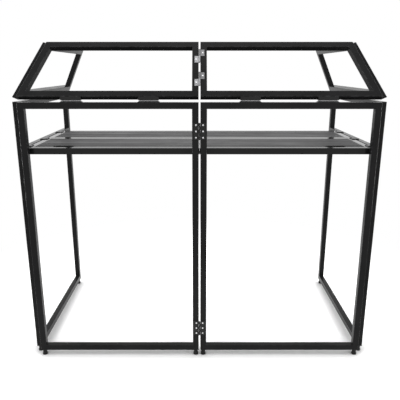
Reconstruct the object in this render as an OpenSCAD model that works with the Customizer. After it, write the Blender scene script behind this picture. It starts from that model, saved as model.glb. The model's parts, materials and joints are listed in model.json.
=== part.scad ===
// Folding presentation booth: four welded tube frames stand on round feet and carry a framed shelf,
// and four leaning frames sit on top of them on padded seats.
// X runs along the front, Y runs from the front towards the open back, Z is up.

/* [Lower frames] */
// Width of one front frame
front_w = 686.5; // [520:1:860]
// Height of the lower frames above their feet
frame_h = 1060; // [820:1:1300]
// Depth of a side frame
side_d = 706; // [560:1:900]
// Half of the gap between the two front frames
half_gap = 3.5; // [3.5:0.5:8]
// Gap between a front frame's edge and the side frame beside it
corner_gap = 3; // [2:0.5:5]

/* [Top frames] */
// Length of the top front frames along their slope
top_slope = 250; // [160:1:340]
// How far the top front frames lean back from upright
front_lean = 36; // [15:1:50]
// How far the top side frames lean in from upright
side_lean = 23.3; // [10:0.1:35]
// Length of a top side frame along its bottom tube
top_side_d = 742; // [600:1:900]
// Half of the gap between the two top front frames
top_half_gap = 3.5; // [3.5:0.5:8]
// Height of the lowest edge of the top frames over the lower frames
top_gap = 8; // [7.5:0.5:14]

/* [Tube] */
// Side of the square tube
tube = 25; // [20:1:32]
// Wall of the square tube
tube_wall = 1.5; // [1:0.1:2.5]
// Outside corner radius of the tube
tube_r = 1.8; // [1.2:0.1:4]
// Radius of the vent hole where a crossbar meets a post
vent_r = 5; // [3:0.5:7]

/* [Shelf] */
// Height of the shelf's top face over the floor
shelf_top = 906; // [600:1:1000]
// Depth of the shelf
shelf_d = 546; // [420:1:640]
// Depth of the front pair of boards
shelf_split = 283; // [200:1:340]
// Height of the shelf's edge channel
shelf_t = 25; // [18:1:32]
// Gap between the shelf and the inner face of a side frame
shelf_side_gap = 7; // [6:0.5:12]
// Gap between the front frames and the shelf
shelf_front_gap = 10; // [8:0.5:20]
// Gap between neighbouring shelf boards' channels
seam = 0.6; // [0.4:0.1:2]
// Width of the channel's lips
lip = 24; // [16:0.5:30]
// Sheet thickness of the channel
channel_t = 1.5; // [1:0.1:2.5]
// Play between a board and its channel
board_play = 0.2; // [0.1:0.05:0.5]
// Length of a cable slot
slot_l = 80; // [50:1:120]
// Width of a cable slot
slot_w = 25; // [16:1:50]
// Distance from the shelf's end to the middle of a cable slot
slot_inset = 140; // [80:1:220]
// Board left between a cable slot and the channel in front of it
slot_margin = 4; // [2:0.5:20]

/* [Shelf fittings] */
// Length of a hanger plate along the crossbar
hook_l = 40; // [25:1:60]
// Thickness of a hanger plate
hook_t = 3; // [2:0.5:4]
// How far a hanger plate reaches out from the shelf's edge
hook_reach = 20; // [14:1:26]
// How far a hanger plate lies over the shelf's edge
hook_hold = 13; // [10:0.5:16]
// Corner radius of a hanger plate
hook_r = 3; // [1:0.5:6]
// Middle of the front hanger plate, from the shelf's front edge
hook_front = 50; // [45:1:90]
// Edge left between the middle hanger plates and the seam behind them
hook_seam = 5; // [3:0.5:30]
// Middle of the rear hanger plate, from the shelf's rear edge
hook_back = 55; // [30:1:90]
// Play between a hanger plate and the crossbar under it
hook_play = 0.3; // [0.2:0.1:1]
// Thickness of the tie plates under the shelf
tie_t = 3; // [2:0.5:5]
// Width of the tie plates under the shelf
tie_w = 44; // [36:1:60]
// Length of a tie plate across the centre seam
tie_l = 130; // [90:1:180]
// Distance of the outer tie plates from the shelf's front and rear edges
tie_inset = 60; // [40:1:90]

/* [Butt hinges] */
// Length of a butt hinge
hinge_l = 64; // [40:1:80]
// Distance from a frame's end to the middle of its hinge
hinge_end = 109; // [80:1:160]
// Distance from the pin's axis to the face a leaf is screwed to
hinge_off = 3.5; // [3.5:0.1:5]
// Thickness of a leaf
leaf_t = 2; // [1.5:0.1:2.2]
// Outer radius of a knuckle
knuckle_r = 3.2; // [2.8:0.1:3.4]
// Number of knuckles on one hinge
knuckles = 5; // [3:2:7]
// Gap between neighbouring knuckles
knuckle_gap = 0.3; // [0.2:0.05:0.6]
// Radius of a hinge pin
pin_r = 1.8; // [1.4:0.1:2]
// Radial play of a pin in its knuckles
pin_play = 0.05; // [0.02:0.01:0.1]
// Width of a centre leaf from the pin's axis
centre_leaf_w = 23.5; // [20:0.5:28]
// Width of a corner leaf from the pin's axis
corner_leaf_w = 20; // [16:0.5:22]
// Distance between screws along a butt hinge
screw_pitch = 24; // [14:0.5:28]

/* [Lift-off hinges] */
// Length of one half of a lift-off hinge
lift_half = 30; // [20:1:40]
// Width of a lift-off leaf from the pin's axis
lift_leaf_w = 19; // [15:0.5:24]
// Middle of the lower lift-off hinge along the slope
lift_low = 75; // [50:1:110]
// Middle of the upper lift-off hinge along the slope
lift_high = 180; // [140:1:200]

/* [Top corner hinges] */
// Length of a corner hinge between the top frames
top_hinge_l = 50; // [40:1:60]
// Distance of the corner hinges from the ends of the sloping post
top_hinge_end = 62; // [50:1:75]

/* [Screws] */
// Radius of a screw's shank
screw_r = 2; // [1.5:0.1:2.5]
// Radius of a screw's head
screw_head_r = 3.2; // [2.6:0.1:3.8]
// Height of a screw's head
screw_head_h = 1.2; // [0.8:0.1:1.4]
// Length of a screw's shank under its head
screw_l = 9; // [6:1:14]
// Play round a screw's shank
screw_play = 0.15; // [0.1:0.05:0.3]

/* [Feet] */
// Height of a foot
foot_h = 25; // [15:1:40]
// Radius of a foot at the floor
foot_r = 10.5; // [8:0.5:12]
// Radius of a foot under the tube
foot_top_r = 8.5; // [7:0.5:11]
// Radius of the stem that fits into the tube
stem_r = 4; // [3:0.5:5]
// Length of the stem
stem_l = 14; // [8:1:18]

/* [Seats] */
// Length of a seat plate on a lower frame
seat_l = 85; // [60:1:110]
// Thickness of a seat plate
seat_t = 4.5; // [2:0.5:5]
// Width of a seat plate
seat_w = 20; // [14:1:24]
// Bevel at the ends of a seat plate
seat_bevel = 6; // [2:1:12]
// Length of the pad on a seat plate
pad_l = 69; // [50:1:80]
// Width of the pad
pad_w = 17; // [12:1:20]
// Length of the wedge under a top frame
wedge_l = 77; // [55:1:100]
// Play between a pad and the wedge above it
seat_play = 0.3; // [0.2:0.1:1]
// Film of paint between a leaf or wedge and the tube it is fixed to
film = 0.02; // [0.02:0.01:0.1]
// Middle of the inner front seat, from the front frame's inner edge
seat_in = 189; // [120:1:260]
// Middle of the outer front seat, from the front frame's outer edge
seat_out = 204; // [120:1:260]
// Middle of a side seat, from the side frame's front or rear edge
seat_side = 246; // [150:1:270]

/* [Hidden] */
$fn = 48;

// Colours of the finishes
black_paint = [0.11, 0.11, 0.12];
grey_laminate = [0.33, 0.33, 0.34];
black_rubber = [0.07, 0.07, 0.07];
grey_pad = [0.62, 0.62, 0.62];
bright_zinc = [0.75, 0.76, 0.78];

// Outer edge and back face of the front frames
front_x = half_gap + front_w;
front_back = tube;
// Places of the side frames
side_x = front_x + corner_gap;
side_y = front_back + 2 * hinge_off;
side_back = side_y + side_d;
lower_top = foot_h + frame_h;
// Pin axis between a front frame and its side frame
corner_x = side_x - hinge_off;
corner_y = front_back + hinge_off;

// Directions in the left half: outward faces of the top frames and the line where they meet
front_out = [0, -cos(front_lean), sin(front_lean)];
side_out = [-cos(side_lean), 0, sin(side_lean)];
post_up = unit(cross(side_out, front_out));
edge_out = cross(post_up, front_out) * -1;
side_front = cross(post_up, side_out);
slope_up = [0, sin(front_lean), cos(front_lean)];
// Slant of the sloping posts within the front frame
post_slant = atan(tan(side_lean) * cos(front_lean));
// Angle inside the corner between the top front frame and the top side frame
top_corner = 90 + asin(front_out * side_out);

// Bottom outer corner of the top front frame
top_low_z = lower_top + top_gap;
top_front_z = top_low_z + tube * sin(front_lean);
top_rise = top_slope * cos(front_lean);
top_front_top_x = front_x - top_rise * tan(side_lean);
top_corner_pt = [-front_x, 0, top_front_z];
// Pin axis between the top frames, and the outer edge of the side frame's front post
top_pin_pt = top_corner_pt - (hinge_off - corner_gap) * edge_out - (tube + hinge_off) * front_out;
top_post_pt = top_pin_pt + (hinge_off + tube) * side_out - hinge_off * side_front;
top_side_z = top_low_z + tube * sin(side_lean);
top_side_pt = top_post_pt + post_up * ((top_side_z - top_post_pt[2]) / post_up[2]);
top_side_slope = (top_front_z + top_rise - top_side_z) / cos(side_lean);
top_side_shift = top_side_slope * tan(front_lean) * cos(side_lean);
post_l = top_slope / cos(post_slant);

// Middle of the whole part's depth, where the origin lies
front_most = -(hinge_off + knuckle_r);
rear_most = max(side_back, top_side_pt[1] + top_side_d);
middle_y = (front_most + rear_most) / 2;

// Shelf
shelf_x = side_x - shelf_side_gap;
shelf_y = front_back + shelf_front_gap;
shelf_bottom = shelf_top - shelf_t;
board_t = shelf_t - 2 * channel_t - 2 * board_play;
board_z = shelf_bottom + channel_t + board_play;
hook_ys = [
    shelf_y + hook_front,
    shelf_y + shelf_split - hook_seam - hook_l / 2,
    shelf_y + shelf_d - hook_back
];
crossbar_top = shelf_top - hook_play;
tie_ys = [shelf_y + tie_inset, shelf_y + shelf_split, shelf_y + shelf_d - tie_inset];
tie_screw_x = tie_l / 2 - 20;
mid_tie_from = tie_l / 2 + 10;
mid_tie_to = shelf_x - 30;

// Hinge details
hinge_zs = [foot_h + hinge_end, lower_top - hinge_end];
leaf_clear = knuckle_r + 0.5;
centre_screw_x = half_gap + tube / 2 - 2.5;
corner_screw_x = (leaf_clear + corner_leaf_w) / 2;
lift_screw_x = (top_half_gap + lift_leaf_w) / 2 + 1;
lift_ss = [lift_low, lift_high];
pin_head_h = 0.8;
pin_head_r = 2.6;
top_screw_pitch = top_hinge_l * 0.36;
screw_hole_r = screw_r + screw_play;
stem_hole_r = stem_r + screw_play;

// Seats
pad_t = top_gap - seat_t - 1;
pad_top = lower_top + seat_t + pad_t;
wedge_bottom = pad_top + seat_play;
front_seat_xs = [half_gap + seat_in, front_x - seat_out];
side_seat_ys = [side_y + seat_side, side_back - seat_side];

function unit(v) = v / norm(v);
function turned(v) = [-v[1], v[0]];
function edge_dir(p, i) = unit(p[(i + 1) % len(p)] - p[i]);
// Corners of an anticlockwise outline moved inward by d
function inset(p, d) = [
    for (i = [0 : len(p) - 1])
        let (before = turned(edge_dir(p, (i + len(p) - 1) % len(p))), after = turned(edge_dir(p, i)))
            p[i] + (before + after) * d / (1 + before * after)
];

// ---------- shared shapes ----------

// Puts the origin under the middle of the part
module placed() {
    translate([0, -middle_y, 0]) children();
}

module right() {
    mirror([1, 0, 0]) children();
}

// Square with round corners, r may be 0
module round_square(from, size, r) {
    translate([from, from]) {
        if (r > 0) {
            translate([r, 0]) square([size - 2 * r, size]);
            translate([0, r]) square([size, size - 2 * r]);
            for (x = [r, size - r], y = [r, size - r])
                translate([x, y]) circle(r);
        } else
            square(size);
    }
}

// Bars of the child profile along each edge of an anticlockwise outline, mitred at its corners.
// The profile's x runs inward from the outline and its y runs up from the outline's plane.
module mitred_ring(outline, wide, high) {
    inner = inset(outline, wide);
    past = wide;
    for (i = [0 : len(outline) - 1]) {
        j = (i + 1) % len(outline);
        a = outline[i];
        b = outline[j];
        dir = edge_dir(outline, i);
        out_a = (a - inner[i]) * 0.5;
        out_b = (b - inner[j]) * 0.5;
        intersection() {
            translate(a - dir * past)
                rotate([0, 0, atan2(dir[1], dir[0])])
                    rotate([90, 0, 90])
                        linear_extrude(norm(b - a) + 2 * past) children();
            translate([0, 0, -1])
                linear_extrude(high + 2)
                    polygon([a + out_a, b + out_b, inner[j] - out_b, inner[i] - out_a]);
        }
    }
}

// Section of the square tube
module tube_section() {
    difference() {
        round_square(0, tube, tube_r);
        round_square(tube_wall, tube - 2 * tube_wall, max(tube_r - tube_wall, 0.5));
    }
}

// Welded frame of mitred square tube, hollow all the way round
module tube_frame(outline) {
    mitred_ring(outline, tube, tube) tube_section();
}

function rectangle(w, h) = [[0, 0], [w, 0], [w, h], [0, h]];

// Pan-head screw: its head stands on z = 0 and its shank points down
module screw() {
    cylinder(h = screw_head_h * 0.5, r = screw_head_r);
    translate([0, 0, screw_head_h * 0.5])
        cylinder(h = screw_head_h * 0.5, r1 = screw_head_r, r2 = screw_head_r * 0.7);
    translate([0, 0, -screw_l]) cylinder(h = screw_l, r = screw_r);
}

// Hinge leaf about the z axis. It reaches out along +x and lies on the face at y = -hinge_off.
// It carries every second knuckle, from the given first one.
module leaf(length, width, count, first, screw_x, screw_zs) {
    step = length / count;
    difference() {
        union() {
            translate([leaf_clear, film - hinge_off, -length / 2])
                cube([width - leaf_clear, leaf_t - film, length]);
            for (k = [first : 2 : count - 1])
                translate([0, 0, -length / 2 + k * step + knuckle_gap / 2]) {
                    cylinder(h = step - knuckle_gap, r = knuckle_r);
                    translate([0, film - hinge_off, 0])
                        cube([leaf_clear + 1, leaf_t - film, step - knuckle_gap]);
                }
        }
        translate([0, 0, -length / 2 - 1]) cylinder(h = length + 2, r = pin_r + pin_play);
        for (z = screw_zs)
            translate([screw_x, -hinge_off - 1, z])
                rotate([-90, 0, 0]) cylinder(h = leaf_t + 2, r = screw_hole_r);
    }
}

// Screws through a leaf at the same places
module leaf_screws(screw_x, screw_zs) {
    for (z = screw_zs)
        translate([screw_x, leaf_t - hinge_off, z]) rotate([-90, 0, 0]) screw();
}

// Holes for those screws through the wall under the leaf
module leaf_screw_holes(screw_x, screw_zs) {
    for (z = screw_zs)
        translate([screw_x, 1 - hinge_off, z])
            rotate([90, 0, 0]) cylinder(h = tube_wall + 3, r = screw_hole_r);
}

module plain_pin(length) {
    translate([0, 0, -length / 2]) cylinder(h = length, r = pin_r);
}

// Hinge pin with a small head at each end
module pin(length) {
    plain_pin(length);
    for (side = [0, 1])
        mirror([0, 0, side])
            translate([0, 0, length / 2]) cylinder(h = pin_head_h, r = pin_head_r);
}

butt_screw_zs = [-screw_pitch, 0, screw_pitch];
top_screw_zs = [-top_screw_pitch, top_screw_pitch];

// ---------- where things go, all in the left half unless they say otherwise ----------

// The panel's x runs along the front, its y up, its z out of the front face
module on_front() {
    translate([-front_x, tube, foot_h]) rotate([90, 0, 0]) children();
}

module on_side() {
    translate([-side_x - tube, side_y, foot_h]) rotate([90, 0, 90]) children();
}

// The panel's z runs out of the leaning front face, which lies at z = 0
module on_top_front() {
    translate([0, 0, top_front_z]) rotate([90 - front_lean, 0, 0]) children();
}

module on_top_side() {
    translate(top_side_pt) rotate([0, side_lean, 0]) rotate([90, 0, 90]) children();
}

module at_centre_hinges() {
    for (z = hinge_zs)
        translate([0, -hinge_off, z]) rotate([0, 0, 180]) children();
}

module at_corner_hinges(turn, flip) {
    for (z = hinge_zs)
        translate([-corner_x, corner_y, z])
            rotate([0, 0, turn]) mirror([0, flip, 0]) children();
}

// Corner hinges of the top frames, spaced along the sloping post
module at_top_corner_hinges(turn, flip) {
    for (s = [top_hinge_end, post_l - top_hinge_end])
        on_top_front()
            translate([-front_x, 0, -(tube + hinge_off)])
                rotate([0, 0, -post_slant])
                    translate([hinge_off - corner_gap, s, 0])
                        rotate([-90, 0, 0])
                            rotate([0, 0, turn]) mirror([0, flip, 0]) children();
}

// Lift-off hinges on the leaning front faces; side 1 is the left frame, side 0 the right one
module at_lift_hinges(side) {
    for (s = lift_ss)
        on_top_front()
            translate([0, s, hinge_off])
                rotate([-90, 0, 0])
                    mirror([side, 0, 0]) mirror([0, 1, 0]) children();
}

module at_front_posts() {
    for (x = [half_gap + tube / 2, front_x - tube / 2])
        translate([-x, tube / 2, 0]) children();
}

module at_side_posts() {
    for (y = [side_y + tube / 2, side_back - tube / 2])
        translate([-side_x - tube / 2, y, 0]) children();
}

module at_front_seats() {
    for (x = front_seat_xs)
        translate([-x, tube / 2, 0]) children();
}

module at_side_seats() {
    for (y = side_seat_ys)
        translate([-side_x - tube / 2, y, 0]) rotate([0, 0, 90]) children();
}

// ---------- lower frames ----------

module stem_hole() {
    translate([0, 0, foot_h - 1]) cylinder(h = tube_wall + 2, r = stem_hole_r);
}

module front_frame() {
    difference() {
        on_front() tube_frame(rectangle(front_w, frame_h));
        at_front_posts() stem_hole();
        at_centre_hinges() leaf_screw_holes(centre_screw_x, butt_screw_zs);
        at_corner_hinges(0, 0) leaf_screw_holes(corner_screw_x, butt_screw_zs);
    }
}

// Tube across a side frame that carries the shelf's hooks
module crossbar() {
    translate([0, crossbar_top - tube - foot_h, 0])
        difference() {
            translate([tube - 1, 0, 0])
                rotate([90, 0, 90])
                    linear_extrude(side_d - 2 * tube + 2)
                        round_square(0, tube, tube_r);
            translate([tube, 0, 0])
                rotate([90, 0, 90])
                    linear_extrude(side_d - 2 * tube)
                        round_square(tube_wall, tube - 2 * tube_wall, max(tube_r - tube_wall, 0.5));
        }
}

module crossbar_vents() {
    translate([tube / 2, crossbar_top - tube / 2 - foot_h, tube / 2])
        rotate([0, 90, 0]) cylinder(h = side_d - tube, r = vent_r);
}

module side_frame() {
    difference() {
        on_side() {
            tube_frame(rectangle(side_d, frame_h));
            crossbar();
        }
        on_side() crossbar_vents();
        at_side_posts() stem_hole();
        at_corner_hinges(90, 1) leaf_screw_holes(corner_screw_x, butt_screw_zs);
    }
}

module front_frame_left() {
    color(black_paint) placed() front_frame();
}

module front_frame_right() {
    color(black_paint) placed() right() front_frame();
}

module side_frame_left() {
    color(black_paint) placed() side_frame();
}

module side_frame_right() {
    color(black_paint) placed() right() side_frame();
}

// ---------- hinges between the lower frames ----------

module centre_leaf(first) {
    leaf(hinge_l, centre_leaf_w, knuckles, first, centre_screw_x, butt_screw_zs);
}

module corner_leaf(first) {
    leaf(hinge_l, corner_leaf_w, knuckles, first, corner_screw_x, butt_screw_zs);
}

module centre_hinge_leaves_left() {
    color(black_paint) placed() at_centre_hinges() centre_leaf(0);
}

module centre_hinge_leaves_right() {
    color(black_paint) placed() right() at_centre_hinges() centre_leaf(1);
}

module centre_hinge_pins() {
    color(black_paint) placed() at_centre_hinges() pin(hinge_l);
}

module corner_hinge_front_leaves_left() {
    color(black_paint) placed() at_corner_hinges(0, 0) corner_leaf(0);
}

module corner_hinge_front_leaves_right() {
    color(black_paint) placed() right() at_corner_hinges(0, 0) corner_leaf(0);
}

module corner_hinge_side_leaves_left() {
    color(black_paint) placed() at_corner_hinges(90, 1) corner_leaf(1);
}

module corner_hinge_side_leaves_right() {
    color(black_paint) placed() right() at_corner_hinges(90, 1) corner_leaf(1);
}

module corner_hinge_pins_left() {
    color(black_paint) placed() at_corner_hinges(0, 0) pin(hinge_l);
}

module corner_hinge_pins_right() {
    color(black_paint) placed() right() at_corner_hinges(0, 0) pin(hinge_l);
}

module front_screws() {
    at_centre_hinges() leaf_screws(centre_screw_x, butt_screw_zs);
    at_corner_hinges(0, 0) leaf_screws(corner_screw_x, butt_screw_zs);
}

module side_screws() {
    at_corner_hinges(90, 1) leaf_screws(corner_screw_x, butt_screw_zs);
}

module front_screws_left() {
    color(bright_zinc) placed() front_screws();
}

module front_screws_right() {
    color(bright_zinc) placed() right() front_screws();
}

module side_screws_left() {
    color(bright_zinc) placed() side_screws();
}

module side_screws_right() {
    color(bright_zinc) placed() right() side_screws();
}

// ---------- feet ----------

// Rubber foot with a rounded rim and a stem that fits into the tube
module foot() {
    rim = 1.5;
    rotate_extrude() {
        polygon([[0, 0], [foot_r - rim, 0], [foot_r, rim], [foot_r, foot_h * 0.3],
            [foot_top_r, foot_h * 0.45], [foot_top_r, foot_h], [0, foot_h]]);
    }
    translate([0, 0, foot_h - 1]) cylinder(h = stem_l + 1, r = stem_r);
}

module front_feet_left() {
    color(black_rubber) placed() at_front_posts() foot();
}

module front_feet_right() {
    color(black_rubber) placed() right() at_front_posts() foot();
}

module side_feet_left() {
    color(black_rubber) placed() at_side_posts() foot();
}

module side_feet_right() {
    color(black_rubber) placed() right() at_side_posts() foot();
}

// ---------- seats between the lower and the top frames ----------

// Plate with bevelled ends, along x
module seat_plate() {
    translate([0, seat_w / 2, lower_top])
        rotate([90, 0, 0])
            linear_extrude(seat_w)
                polygon([[-seat_l / 2, 0], [seat_l / 2, 0], [seat_l / 2 - seat_bevel, seat_t],
                    [seat_bevel - seat_l / 2, seat_t]]);
}

module seat_pad() {
    translate([-pad_l / 2, -pad_w / 2, lower_top + seat_t]) cube([pad_l, pad_w, pad_t]);
}

// Wedge that levels the bottom of a tube leaning by the given angle: its profile's x runs from the
// tube's outer bottom edge inward, its y is height over the seat, and high is that edge's height
module wedge(lean, high, length) {
    outer = tube_r + 1;
    inner = tube - tube_r;
    translate([0, length / 2, wedge_bottom])
        rotate([90, 0, 0])
            linear_extrude(length)
                polygon([[outer * cos(lean), 0], [inner * cos(lean), 0],
                    [inner * cos(lean), high - inner * sin(lean)],
                    [outer * cos(lean), high - outer * sin(lean)]]);
}

module top_front_wedges() {
    for (x = front_seat_xs)
        translate([-x, 0, 0])
            rotate([0, 0, 90]) wedge(front_lean, top_front_z - wedge_bottom - film, wedge_l);
}

module top_side_wedges() {
    for (y = side_seat_ys)
        translate([top_side_pt[0], y, 0])
            wedge(side_lean, top_side_z - wedge_bottom - film, wedge_l);
}

module front_seat_plates_left() {
    color(black_paint) placed() at_front_seats() seat_plate();
}

module front_seat_plates_right() {
    color(black_paint) placed() right() at_front_seats() seat_plate();
}

module side_seat_plates_left() {
    color(black_paint) placed() at_side_seats() seat_plate();
}

module side_seat_plates_right() {
    color(black_paint) placed() right() at_side_seats() seat_plate();
}

module front_seat_pads_left() {
    color(grey_pad) placed() at_front_seats() seat_pad();
}

module front_seat_pads_right() {
    color(grey_pad) placed() right() at_front_seats() seat_pad();
}

module side_seat_pads_left() {
    color(grey_pad) placed() at_side_seats() seat_pad();
}

module side_seat_pads_right() {
    color(grey_pad) placed() right() at_side_seats() seat_pad();
}

module top_front_wedges_left() {
    color(black_paint) placed() top_front_wedges();
}

module top_front_wedges_right() {
    color(black_paint) placed() right() top_front_wedges();
}

module top_side_wedges_left() {
    color(black_paint) placed() top_side_wedges();
}

module top_side_wedges_right() {
    color(black_paint) placed() right() top_side_wedges();
}

// ---------- top frames ----------

// The left top front frame; the right one is its mirror image but for the lift-off hinges' screws
module top_front_frame(half) {
    difference() {
        on_top_front()
            translate([0, 0, -tube])
                tube_frame([[-front_x, 0], [-top_half_gap, 0], [-top_half_gap, top_slope],
                    [-top_front_top_x, top_slope]], $fn = 12);
        at_lift_hinges(1) leaf_screw_holes(lift_screw_x, [half]);
        at_top_corner_hinges(0, 0) leaf_screw_holes(corner_screw_x, top_screw_zs);
    }
}

module top_side_frame() {
    difference() {
        on_top_side()
            tube_frame([[0, 0], [top_side_d, 0], [top_side_d, top_side_slope],
                [top_side_shift, top_side_slope]], $fn = 12);
        at_top_corner_hinges(top_corner, 1) leaf_screw_holes(corner_screw_x, top_screw_zs);
    }
}

module top_front_frame_left() {
    color(black_paint) placed() top_front_frame(-lift_half / 2);
}

module top_front_frame_right() {
    color(black_paint) placed() right() top_front_frame(lift_half / 2);
}

module top_side_frame_left() {
    color(black_paint) placed() top_side_frame();
}

module top_side_frame_right() {
    color(black_paint) placed() right() top_side_frame();
}

// ---------- hinges between the top frames ----------

// Left half of a lift-off hinge is knuckle 0 and carries the pin, the right half is knuckle 1
module lift_leaf(half) {
    low = half < 0 ? -lift_half : 0;
    intersection() {
        leaf(2 * lift_half, lift_leaf_w, 2, half < 0 ? 0 : 1, lift_screw_x, [half]);
        translate([-lift_leaf_w, -lift_leaf_w, low])
            cube([3 * lift_leaf_w, 2 * lift_leaf_w, lift_half]);
    }
}

module lift_hinge_pin_leaves() {
    color(bright_zinc) placed() at_lift_hinges(1) lift_leaf(-lift_half / 2);
}

module lift_hinge_pins() {
    color(bright_zinc) placed() at_lift_hinges(1) plain_pin(2 * lift_half - 2);
}

module lift_hinge_socket_leaves() {
    color(bright_zinc) placed() at_lift_hinges(0) lift_leaf(lift_half / 2);
}

module top_corner_leaf(first) {
    leaf(top_hinge_l, corner_leaf_w, knuckles, first, corner_screw_x, top_screw_zs);
}

module top_corner_front_leaves_left() {
    color(black_paint) placed() at_top_corner_hinges(0, 0) top_corner_leaf(0);
}

module top_corner_front_leaves_right() {
    color(black_paint) placed() right() at_top_corner_hinges(0, 0) top_corner_leaf(0);
}

module top_corner_side_leaves_left() {
    color(black_paint) placed() at_top_corner_hinges(top_corner, 1) top_corner_leaf(1);
}

module top_corner_side_leaves_right() {
    color(black_paint) placed() right() at_top_corner_hinges(top_corner, 1) top_corner_leaf(1);
}

module top_corner_pins_left() {
    color(black_paint) placed() at_top_corner_hinges(0, 0) pin(top_hinge_l);
}

module top_corner_pins_right() {
    color(black_paint) placed() right() at_top_corner_hinges(0, 0) pin(top_hinge_l);
}

module top_front_screws(half) {
    at_lift_hinges(1) leaf_screws(lift_screw_x, [half]);
    at_top_corner_hinges(0, 0) leaf_screws(corner_screw_x, top_screw_zs);
}

module top_side_screws() {
    at_top_corner_hinges(top_corner, 1) leaf_screws(corner_screw_x, top_screw_zs);
}

module top_front_screws_left() {
    color(bright_zinc) placed() top_front_screws(-lift_half / 2);
}

module top_front_screws_right() {
    color(bright_zinc) placed() right() top_front_screws(lift_half / 2);
}

module top_side_screws_left() {
    color(bright_zinc) placed() top_side_screws();
}

module top_side_screws_right() {
    color(bright_zinc) placed() right() top_side_screws();
}

// ---------- shelf ----------

// Front and rear boards of the left half: each is [front y, rear y]
shelf_bays = [
    [shelf_y, shelf_y + shelf_split - seam / 2],
    [shelf_y + shelf_split + seam / 2, shelf_y + shelf_d]
];
slot_y = shelf_y + lip + slot_margin + slot_w / 2;
slot_x = shelf_x - slot_inset;

module cable_slot() {
    straight = (slot_l - slot_w) / 2;
    translate([-slot_x, slot_y, shelf_bottom - 1]) {
        translate([-straight, -slot_w / 2, 0]) cube([2 * straight, slot_w, shelf_t + 2]);
        for (x = [-straight, straight])
            translate([x, 0, 0]) cylinder(h = shelf_t + 2, r = slot_w / 2);
    }
}

// Board whose edges lie in its channel; its raised field fills the space between the lips
module shelf_board(bay) {
    w = shelf_x - seam / 2;
    d = bay[1] - bay[0];
    for (edge = [[channel_t + board_play, board_t], [lip + board_play, shelf_top - board_z]])
        translate([edge[0] - shelf_x, bay[0] + edge[0], board_z])
            cube([w - 2 * edge[0], d - 2 * edge[0], edge[1]]);
}

module shelf_boards() {
    difference() {
        for (bay = shelf_bays)
            shelf_board(bay);
        cable_slot();
        shelf_screw_places() cylinder(h = board_play + 8.5, r = screw_hole_r);
        at_hook_screws() translate([0, 0, -screw_l - 0.5]) cylinder(h = screw_l + 1, r = screw_hole_r);
    }
}

// Channel round one board, open towards the board
module shelf_channel(bay) {
    w = shelf_x - seam / 2;
    translate([-shelf_x, bay[0], shelf_bottom])
        mitred_ring(rectangle(w, bay[1] - bay[0]), lip, shelf_t)
            difference() {
                square([lip, shelf_t]);
                translate([channel_t, channel_t]) square([lip, shelf_t - 2 * channel_t]);
            }
}

module shelf_channels() {
    difference() {
        for (bay = shelf_bays)
            shelf_channel(bay);
        at_hook_screws() translate([0, 0, -hook_t - channel_t - 1]) cylinder(h = channel_t + 2, r = screw_hole_r);
        shelf_screw_places() translate([0, 0, -channel_t - 1]) cylinder(h = channel_t + 2, r = screw_hole_r);
    }
}

// Screws that hold the tie plates come up into the boards, left half
module shelf_screw_places() {
    for (y = tie_ys, side = [-1, 1])
        translate([-tie_screw_x, y + side * (tie_w / 2 - 7), board_z - board_play]) children();
    for (x = [mid_tie_from + 30, (mid_tie_from + mid_tie_to) / 2, mid_tie_to - 30], side = [-1, 1])
        translate([-x, tie_ys[1] + side * (tie_w / 2 - 7), board_z - board_play]) children();
}

module shelf_tie_plates() {
    color(black_paint) placed()
        difference() {
            translate([0, 0, shelf_bottom - tie_t]) {
                for (y = tie_ys)
                    translate([-tie_l / 2, y - tie_w / 2, 0]) cube([tie_l, tie_w, tie_t]);
                for (side = [0, 1])
                    mirror([side, 0, 0])
                        translate([mid_tie_from, tie_ys[1] - tie_w / 2, 0])
                            cube([mid_tie_to - mid_tie_from, tie_w, tie_t]);
            }
            for (side = [0, 1])
                mirror([side, 0, 0])
                    shelf_screw_places()
                        translate([0, 0, -20]) cylinder(h = 40, r = screw_hole_r);
        }
}

// Screws that hold the hanger plates go down into the shelf's edge, left half
module at_hook_screws() {
    for (y = hook_ys, side = [-1, 1])
        translate([hook_hold / 2 - shelf_x, y + side * (hook_l / 2 - 8), shelf_top + hook_t]) children();
}

// Flat plates that lie on the shelf's edge and reach over the crossbar
module shelf_hooks() {
    wide = hook_hold + hook_reach - 2 * hook_r;
    difference() {
        for (y = hook_ys)
            translate([hook_hold - shelf_x - hook_r - wide, y - hook_l / 2 + hook_r, shelf_top])
                linear_extrude(hook_t) {
                    translate([0, -hook_r]) square([wide, hook_l]);
                    translate([-hook_r, 0]) square([wide + 2 * hook_r, hook_l - 2 * hook_r]);
                    for (x = [0, wide], l = [0, hook_l - 2 * hook_r])
                        translate([x, l]) circle(hook_r);
                }
        at_hook_screws()
            translate([0, 0, -hook_t - 1]) cylinder(h = hook_t + 2, r = screw_hole_r);
    }
}

module shelf_boards_left() {
    color(grey_laminate) placed() shelf_boards();
}

module shelf_boards_right() {
    color(grey_laminate) placed() right() shelf_boards();
}

module shelf_channels_left() {
    color(black_paint) placed() shelf_channels();
}

module shelf_channels_right() {
    color(black_paint) placed() right() shelf_channels();
}

module shelf_hooks_left() {
    color(black_rubber) placed() shelf_hooks();
}

module shelf_hooks_right() {
    color(black_rubber) placed() right() shelf_hooks();
}

module shelf_screws() {
    color(bright_zinc) placed()
        for (side = [0, 1])
            mirror([side, 0, 0]) {
                shelf_screw_places()
                    translate([0, 0, -(tie_t + channel_t)]) mirror([0, 0, 1]) screw();
                at_hook_screws() screw();
            }
}

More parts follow.
